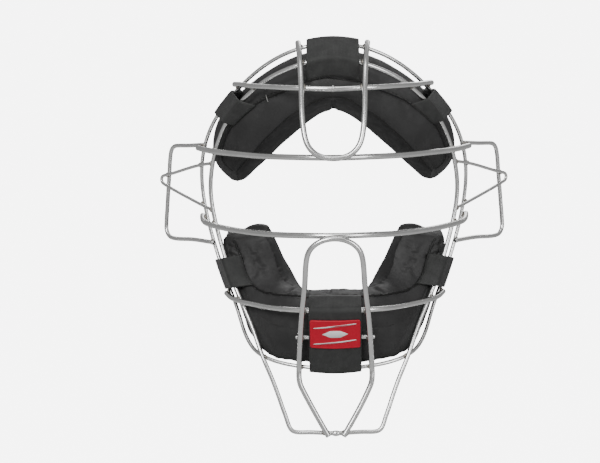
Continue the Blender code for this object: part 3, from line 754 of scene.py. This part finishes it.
forehead_grid = build_pad(
    "forehead",
    FOREHEAD,
    crowns=(1.8, 1.0, 0.6, 1.2),
    gathers=(0.25, 0.35, 0.1, 0.4),
    ends=2.5,
    notch=2.8,
    creases=[
        (2.6, 1.5, (0, -48, 100), (0, -30, 94), (0, -6, 88)),
        (0.5, 0.7, (0, -52, 116), (0, -52, 109), (0, -50, 103)),
        *both_sides((0.8, 1.0, (63, -22, 58), (70, -14, 52), (74, -6, 42))),
        *both_sides((0.7, 1.4, (46, -42, 100), (52, -41, 93), (54, -39, 86))),
        *both_sides((-0.8, 4.0, (70, -20, 70), (66, -22, 62), (66, -18, 54))),
    ],
    welts=[("outer", "seam", 0.75, 0.1), ("inner", "inner", 0.55, 0.0)],
    seams=[("seam", 0.06), ("back", 0.94)],
)
pale = [tacks(*forehead_grid, "back", 0.94, -9, 15, 1.6, 1.7), bar_tack(*forehead_grid, -46)]
piece("forehead_pad_tacks", *joined(pale), PALE_THREAD, "pad_cover")
build_pad(
    "jaw",
    JAW,
    crowns=(1.6, 1.0, 0.6, 1.4, 1.6, 1.6),
    gathers=(1.1, 0.8, 0.1, 0.6, 0.9, 0.9),
    ends=2.5,
    creases=[
        (1.6, 1.0, (-4.5, -60, -39), (-4.5, -45, -36), (-4.5, -28, -38)),
        *both_sides((2.1, 1.3, (66, -10, -6), (58, -17, -17), (47, -24, -26))),
        *both_sides((1.8, 1.3, (53, -12, -3), (56, -18, -14), (60, -22, -30))),
        *both_sides((-1.4, 4.0, (60, -14, -9), (54, -19, -20), (50, -24, -28))),
        *both_sides((2.2, 1.3, (38, -48, -36), (32, -40, -35), (27, -26, -36))),
        *both_sides((1.5, 1.4, (20, -59, -39), (21, -46, -36), (18, -30, -36))),
        *both_sides((-1.2, 3.5, (29, -52, -38), (27, -42, -35), (23, -28, -37))),
        *both_sides((1.4, 1.2, (80, -3, -8), (74, -6, -10), (69, -10, -12))),
        *both_sides((1.2, 1.1, (78, -4, -15), (72, -8, -16), (66, -13, -18))),
        *both_sides((-2.6, 5.0, (50, 14, -1), (57, 12, -1), (64, 10, -1))),
        *both_sides((0.9, 2.2, (62, -32, -52), (52, -41, -66), (42, -44, -80))),
        *both_sides((0.7, 2.6, (56, -20, -14), (50, -24, -26), (44, -30, -37))),
    ],
    welts=[("outer", "seam", 0.8, 0.2), ("lower", "under", 0.6, 0.0)],
    seams=[("seam", 0.06), ("front", 0.94)],
)


# ---- The straps ----

WEBBING = 1.6
WIDE = 37.0
JAW_WIDE = 22.5
FOREHEAD_WIDE = 20.5
PATCH = 1.0
PATCH_SHARE = 0.84
TAB_END = 1.5
SEWN = np.array((-1.6, -0.5))  # from the seam to the strap's sewn end
LANDING = 3.0  # from the ring to where the tab meets the pad
TAB_HEIGHT = PAD_GAP + 2 * GAP + 2 * PATCH + WEBBING / 2
CAD_STATIONS = np.array([s for s in np.arange(-LAST, LAST + 0.125, 0.25) if s])
EDGE_SHARES = (0, 0.006, 0.02, 0.05, 0.11, 0.2, 0.3, 0.4)
ACROSS = np.array([s - 0.5 for s in EDGE_SHARES] + [0] + [0.5 - s for s in EDGE_SHARES[::-1]])
MIDDLE = len(EDGE_SHARES)  # the column down the strap's middle
EDGE_ROUND = 0.9  # how far in from a strap's edge it starts to thin
ROW_SPACING = 2.2  # the most between two rows of a strap's mesh


def crossing(path, centre, normal, offset):
    """Where a path crosses a plane `offset` along the normal from the centre, at the crossing nearest to it."""
    height = (path - centre) @ normal - offset
    found = []
    for i in np.flatnonzero(height[:-1] * height[1:] <= 0):
        share = height[i] / (height[i] - height[i + 1])
        found.append(path[i] + (path[i + 1] - path[i]) * share)
    return min(found, key=lambda point: np.linalg.norm(point - centre))


def tangent_normal(start, start_radius, end, end_radius):
    """The normal of the line that touches two circles, both on its right."""
    span = end - start
    distance = np.linalg.norm(span)
    sine = (start_radius - end_radius) / distance
    ahead = span / distance
    return ahead * sine + np.array((-ahead[1], ahead[0])) * math.sqrt(1 - sine**2)


def taut(stops):
    """A path in the plane pulled tight round its stops, each a centre, a radius and a number of points."""
    normals = [tangent_normal(*a[:2], *b[:2]) for a, b in zip(stops, stops[1:])]
    angles = [math.atan2(normal[1], normal[0]) for normal in normals]
    path = [stops[0][0]]
    for (centre, radius, count), first, last in zip(stops[1:-1], angles, angles[1:]):
        turn = (last - first + math.pi) % math.tau - math.pi
        for angle in first + np.linspace(0, turn, count):
            path.append(centre + radius * np.array((math.cos(angle), math.sin(angle))))
    return np.array([*path, stops[-1][0]])


class Strap:
    """One strap as a sheet: points at a share of the way across it and a distance along it, and a height over it."""

    def __init__(self, fit, wires, edges, landing):
        near, lean, width, self.slack = fit
        place = np.argmin(np.linalg.norm(REAR - np.asarray(near, float), axis=1))
        self.centre = REAR[place]
        ring = unit(np.roll(REAR, -1, axis=0) - np.roll(REAR, 1, axis=0))[place]
        self.along = unit(ring * (lean, lean, 1))
        self.stretch = 1 / (ring @ self.along)
        back = np.array((0, 1.0, 0))
        self.back = unit(back - self.along * (back @ self.along))
        outward = np.cross(self.along, self.back)
        self.outward = outward * np.sign(outward @ (self.centre * (1, 0, 1)))
        self.width = width
        self.rings = np.vstack([REAR, REAR[:1]])
        self.wires = wires
        self.edges = edges
        self.landing = landing
        self.surfaces = [self.section(share * width * PATCH_SHARE)[1] for share in ACROSS]
        paths = [self.section(share * width)[0] for share in ACROSS]
        steps = np.diff(lengths(paths[MIDDLE]))
        counts = np.maximum(1, np.ceil(steps / ROW_SPACING)).astype(int)
        columns = []
        for share, path in zip(ACROSS, paths):
            fine = [path[:1]]
            for a, b, n in zip(path, path[1:], counts):
                fine.append(a + np.outer(np.arange(1, n + 1) / n, b - a))
            columns.append(self.solid(np.vstack(fine), share * width))
        self.sheet = np.stack(columns, axis=1)
        self.turned = int(counts[:-3].sum())  # the row where the tab leaves the ring
        self.leaves = int(counts[:-2].sum())  # the row just before the tab meets the pad
        self.normals = sheet_normals(self.sheet)
        if self.normals[self.turned // 2, MIDDLE] @ self.outward < 0:
            self.normals = -self.normals

    def flat(self, path, offset):
        """Where a path crosses the strap's section at an offset, in the section's own plane."""
        arm = crossing(path, self.centre, self.along, offset) - self.centre
        return np.array((arm @ self.back, arm @ self.outward))

    def solid(self, points, offset):
        """The reverse: points of that plane in the drawing."""
        backward, outward = np.asarray(points).T
        middle = self.centre + self.along * offset
        return middle + np.outer(backward, self.back) + np.outer(outward, self.outward)

    def section(self, offset):
        """The strap's and tab's centre line at one offset, and the pad's surface under the tab."""
        names = ("seam", *self.landing)
        seam, first, last = [edge_path(self.edges, name, CAD_STATIONS) for name in names]
        seam, start, end = [self.flat(path, offset) for path in (seam, (first + last) / 2, last)]
        ahead = unit(end - start)
        normal = np.array((-ahead[1], ahead[0]))
        ring = self.flat(self.rings, offset)
        lands = start + ahead * ((ring - start) @ ahead + LANDING + 2 * self.slack) + normal * TAB_HEIGHT
        stops = [(seam + SEWN, 0, 1)]
        for path, radius in self.wires:
            stops.append((self.flat(path, offset), radius * self.stretch + GAP + WEBBING / 2, 9))
        stops += [(ring, REAR_R * self.stretch + GAP + WEBBING / 2 + self.slack, 15), (lands, 0, 1)]
        whole = taut(stops)
        tail = end - ahead * TAB_END + normal * TAB_HEIGHT
        before = lands - unit(lands - whole[-2]) * 1.2
        after = lands + unit(tail - lands) * 0.8
        return np.vstack([whole[:-1], before, after, tail]), (end, -ahead, normal)

    def patch(self, near, far, low, high):
        """The sheet of a patch over the pad, between two distances from the pad's back edge."""
        rows = []
        for distance in np.linspace(near, far, 9):
            line = []
            for share, (end, forward, normal) in zip(ACROSS, self.surfaces):
                middle = end + forward * distance + normal * (low + high) / 2
                line.append(self.solid([middle], share * self.width * PATCH_SHARE)[0])
            rows.append(line)
        return np.array(rows)


def sheet_normals(sheet):
    return unit(np.cross(np.gradient(sheet, axis=1), np.gradient(sheet, axis=0)))


def slab(sheet, normals, thickness, width):
    """A sheet given thickness, with rounded side edges and ends. Returns points, faces and a UV map in millimetres."""
    inset = (0.5 - abs(ACROSS)) * width
    round_off = np.clip(inset / EDGE_ROUND, 0, 1)
    half = thickness / 2 * (0.28 + 0.72 * np.sqrt(1 - (1 - round_off) ** 2))
    ends = np.ones(len(sheet))
    ends[[0, -1]] = 0.45
    lift = normals * (half[None] * ends[:, None])[..., None]
    loops = np.concatenate([sheet + lift, (sheet - lift)[:, ::-1]], axis=1)
    points, faces = closed_grid(loops)
    run = lengths(sheet[:, MIDDLE])
    across = ACROSS * width
    uv = np.stack(np.meshgrid(np.concatenate([across, across[::-1] + 0.4]), run), axis=2).reshape(-1, 2)
    return points, faces, uv


def handed(points, side):
    """Points of a left-hand piece, mirrored for the right."""
    return np.asarray(points) * ((-1, 1, 1) if side == "right" else (1, 1, 1))


def build_strap(name, side, strap):
    """A strap and its tab as one band that folds at the rear ring, with the hook and loop patches."""
    ending = f"_{side}" if side else ""
    body = f"{name}_tab_end{ending}"
    uneven = waves(strap.sheet.reshape(-1, 3), 11, 5).reshape(strap.sheet.shape[:2]) * 0.12
    soft = strap.sheet + strap.normals * uneven[..., None]
    points, faces, uv = slab(soft, strap.normals, WEBBING, strap.width)
    band = piece(f"{name}_strap_band{ending}", handed(points, side), faces, WEB, "webbing", None, uv)
    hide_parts(f"{name}_strap{ending}", f"{name}_tab{ending}")
    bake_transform(band)
    hook = PAD_GAP + PATCH + GAP
    reach = np.linalg.norm(strap.sheet[-1] - strap.sheet[strap.leaves], axis=1).min() - 2
    layout = (
        ("hook_patch", TAB_END + 1, reach - 2.5, hook, hook + PATCH, HOOK, body),
        ("loop_patch", 1.5, reach - 1.5, PAD_GAP, PAD_GAP + PATCH, LOOP, "mask"),
    )
    for patch, near, far, low, high, material, rides in layout:
        sheet = strap.patch(near, far, low, high)
        points, faces, uv = slab(sheet, sheet_normals(sheet), high - low, strap.width * PATCH_SHARE)
        shape = (handed(points, side), faces, material, "hook_and_loop", rides, uv)
        obj = piece(f"{name}_{patch}_face{ending}", *shape)
        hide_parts(f"{name}_{patch}{ending}")


OVER_FRONT = [(np.vstack([FRONT, FRONT[:1]]), FRONT_R)]
FOREHEAD_FIT = (OVER_FRONT, FOREHEAD, ("seam", "back"))
JAW_FIT = (OVER_FRONT, JAW, ("under", "back"))
CHIN = Strap(((0, -53.5, -91.3), 1, WIDE, 0), [WIRES["mouth_bar"]], JAW, ("under", "back"))
build_strap("top", "", Strap(((0, -36, 139), 1, WIDE, 2.0), *FOREHEAD_FIT))
for side_name in ("left", "right"):
    build_strap("forehead", side_name, Strap(((77, -9.2, 95.1), 0.3, FOREHEAD_WIDE, 0), *FOREHEAD_FIT))
    build_strap("jaw", side_name, Strap(((80.6, 1.3, -30.8), 0.38, JAW_WIDE, 0), *JAW_FIT))
build_strap("chin", "", CHIN)


# ---- The label ----

LABEL_SPAN = (25.2, 48.6)  # along the strap, from its sewn end
LABEL_WIDTH = 35.0
LABEL = 0.8
FIELD_DROP = 0.22  # how far the field lies below the rim
RIM_WIDTH = 1.1


def on_strap(strap, across, along, height):
    """A point over the strap, by its distances from the middle and from the sewn end and its height over the face."""
    row = np.interp(along, lengths(strap.sheet[:, MIDDLE]), np.arange(len(strap.sheet)))
    column = np.interp(across / strap.width, ACROSS, np.arange(len(ACROSS)))
    i, j = int(row), int(column)
    a, b = row - i, column - j
    result = 0
    for grid, factor in ((strap.sheet, 1.0), (strap.normals, WEBBING / 2 + height)):
        near = grid[i, j] * (1 - b) + grid[i, j + 1] * b
        far = grid[i + 1, j] * (1 - b) + grid[i + 1, j + 1] * b
        result = result + (near * (1 - a) + far * a) * factor
    return result


def rounded(u, v, half_width, half_height, radius):
    """A point of a rectangle, squeezed so that the rectangle's corners are round."""
    du, dv = abs(u) - (half_width - radius), abs(v) - (half_height - radius)
    if du > 0 and dv > 0:
        share = max(du, dv) / math.hypot(du, dv)
        u = math.copysign(half_width - radius + du * share, u)
        v = math.copysign(half_height - radius + dv * share, v)
    return u, v


def build_label():
    """A moulded label with a raised rim, two slanting lines and a plain lozenge."""
    half_width, half_height = LABEL_WIDTH / 2, (LABEL_SPAN[1] - LABEL_SPAN[0]) / 2
    centre = sum(LABEL_SPAN) / 2
    u_values = np.linspace(-half_width, half_width, 61)
    v_values = np.linspace(-half_height, half_height, 39)
    top = []
    bottom = []
    for v in v_values:
        for u in u_values:
            edge = min(half_width - abs(u), half_height - abs(v))
            height = GAP + LABEL * (0.55 + 0.45 * np.clip(edge / 0.5, 0, 1) ** 0.5)
            height -= FIELD_DROP if edge > RIM_WIDTH else 0
            place = rounded(u, v, half_width, half_height, 1.3)
            top.append(on_strap(CHIN, place[0], centre + place[1], height))
            bottom.append(on_strap(CHIN, place[0], centre + place[1], 0.05))
    rows, columns = len(v_values), len(u_values)
    faces = grid_faces(rows, columns) + [face[::-1] for face in grid_faces(rows, columns, start=rows * columns)]
    corners = np.arange(rows * columns).reshape(rows, columns)
    rim = [*corners[0], *corners[1:, -1], *corners[-1, -2::-1], *corners[-2:0:-1, 0]]
    for a, b in zip(rim, rim[1:] + rim[:1]):
        faces.append([a, b, b + rows * columns, a + rows * columns])
    obj = piece("label", np.array(top + bottom), faces, RED, "label")
    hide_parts("label_patch")
    marks = []
    for outline in LABEL_MARKS:
        middle = np.mean(outline, axis=0)
        rims = []
        for height, size in ((-0.3, 1), (0.05, 1), (0.12, 0.97)):
            shape = middle + (np.array(outline) - middle) * size + (0, centre)
            rims.append([on_strap(CHIN, *point, GAP + LABEL + height) for point in shape])
        marks.append(closed_grid(np.array(rims)))
    piece("label_marks", *joined(marks), WHITE, "label")


def stripe(left, right):
    """A slanting line that tapers a little to both ends."""
    left, right = np.array(left), np.array(right)
    share = np.linspace(0, 1, 24)
    middle = left + np.outer(share, right - left)
    half = np.outer(0.3 + 0.7 * np.sin(math.pi * share) ** 0.5, (0, STRIPE / 2))
    return [*(middle - half), *(middle + half)[::-1]]


STRIPE = 1.1  # the width of a line on the label
LABEL_MARKS = [
    stripe((-15.0, -5.2), (14.6, -9.0)),
    stripe((-15.0, 8.2), (14.6, 4.6)),
    [(-9, -0.4), (-3.4, -3.4), (3.4, -3.4), (9, -0.8), (3.4, 2.2), (-3.4, 2.2)],
]
build_label()


# ---- Stage ----

DISTANCE = 1.6
ELEVATION = math.radians(8)
ROLL = math.radians(0.5)
LENS = 131.52
SHIFT = -0.0572
FLOOR_GLOW = (6.5, 0.22, 0.01)  # to the camera, in reflections and otherwise
SKY_GLOW = (2.0, 0.1, 0.2)
LIGHTS = (
    ("key", (-0.9, -2.2, 1.4), (1.0, 1.2), 46),
    ("fill", (1.5, -1.9, 0.7), (0.8, 1.6), 20),
    ("top", (0.0, -0.6, 2.2), (1.4, 0.8), 10),
    ("rim", (0.3, 2.0, 1.2), (1.6, 1.0), 12),
)


def glow(tree, socket, to_camera, in_reflections, otherwise):
    """Sets a strength by the kind of ray. What the camera and reflections see comes on top of the rest."""
    rays = tree.nodes.new("ShaderNodeLightPath")
    total = None
    for kind, strength in (("Is Camera Ray", to_camera), ("Is Glossy Ray", in_reflections)):
        made = tree.nodes.new("ShaderNodeMath")
        made.operation = "MULTIPLY_ADD"
        made.inputs[1].default_value = strength
        made.inputs[2].default_value = otherwise
        tree.links.new(rays.outputs[kind], made.inputs[0])
        if total:
            tree.links.new(total, made.inputs[2])
        total = made.outputs[0]
    tree.links.new(total, socket)


def build_stage():
    """A pale floor that meets a white sky, and the lamps."""
    floor = bpy.data.meshes.new("floor")
    reach, level = 40.0, CAD_BOX[0][2] - 0.5
    corners = [(-reach, -reach, level), (reach, -reach, level), (reach, reach, level), (-reach, reach, level)]
    floor.from_pydata(corners, [], [(0, 1, 2, 3)])
    pale = bpy.data.materials.new("floor")
    pale.use_nodes = True
    shader = pale.node_tree.nodes["Principled BSDF"]
    shader.inputs["Base Color"].default_value = (0.3, 0.3, 0.3, 1)
    shader.inputs["Roughness"].default_value = 0.9
    shader.inputs["Emission Color"].default_value = (1, 1, 1, 1)
    glow(pale.node_tree, shader.inputs["Emission Strength"], *FLOOR_GLOW)
    floor.materials.append(pale)
    obj = bpy.data.objects.new("floor", floor)
    bpy.context.scene.collection.objects.link(obj)
    world = bpy.data.worlds.new("studio")
    world.use_nodes = True
    sky = world.node_tree.nodes["Background"]
    sky.inputs["Color"].default_value = (1, 1, 1, 1)
    glow(world.node_tree, sky.inputs["Strength"], *SKY_GLOW)
    bpy.context.scene.world = world
    for name, place, size, power in LIGHTS:
        light = bpy.data.lights.new(name, "AREA")
        light.shape = "RECTANGLE"
        light.size, light.size_y = size
        light.energy = power
        lamp = bpy.data.objects.new(name, light)
        lamp.matrix_world = aimed(Vector(place), Vector((0, 0, 0)))
        bpy.context.scene.collection.objects.link(lamp)


def aimed(place, target):
    """The placement of a lamp or a camera that looks at the target."""
    facing = (target - place).to_track_quat("-Z", "Y").to_matrix().to_4x4()
    return Matrix.Translation(place) @ facing


def build_camera():
    target = Vector(placed((0, 0, 0)))
    place = target + DISTANCE * Vector((0, -math.cos(ELEVATION), math.sin(ELEVATION)))
    camera = bpy.data.cameras.new("camera")
    camera.sensor_width = 36
    camera.lens = LENS
    camera.shift_x = SHIFT
    obj = bpy.data.objects.new("camera", camera)
    obj.matrix_world = aimed(place, target) @ Matrix.Rotation(-ROLL, 4, "Z")
    bpy.context.scene.collection.objects.link(obj)
    bpy.context.scene.camera = obj


build_stage()
build_camera()
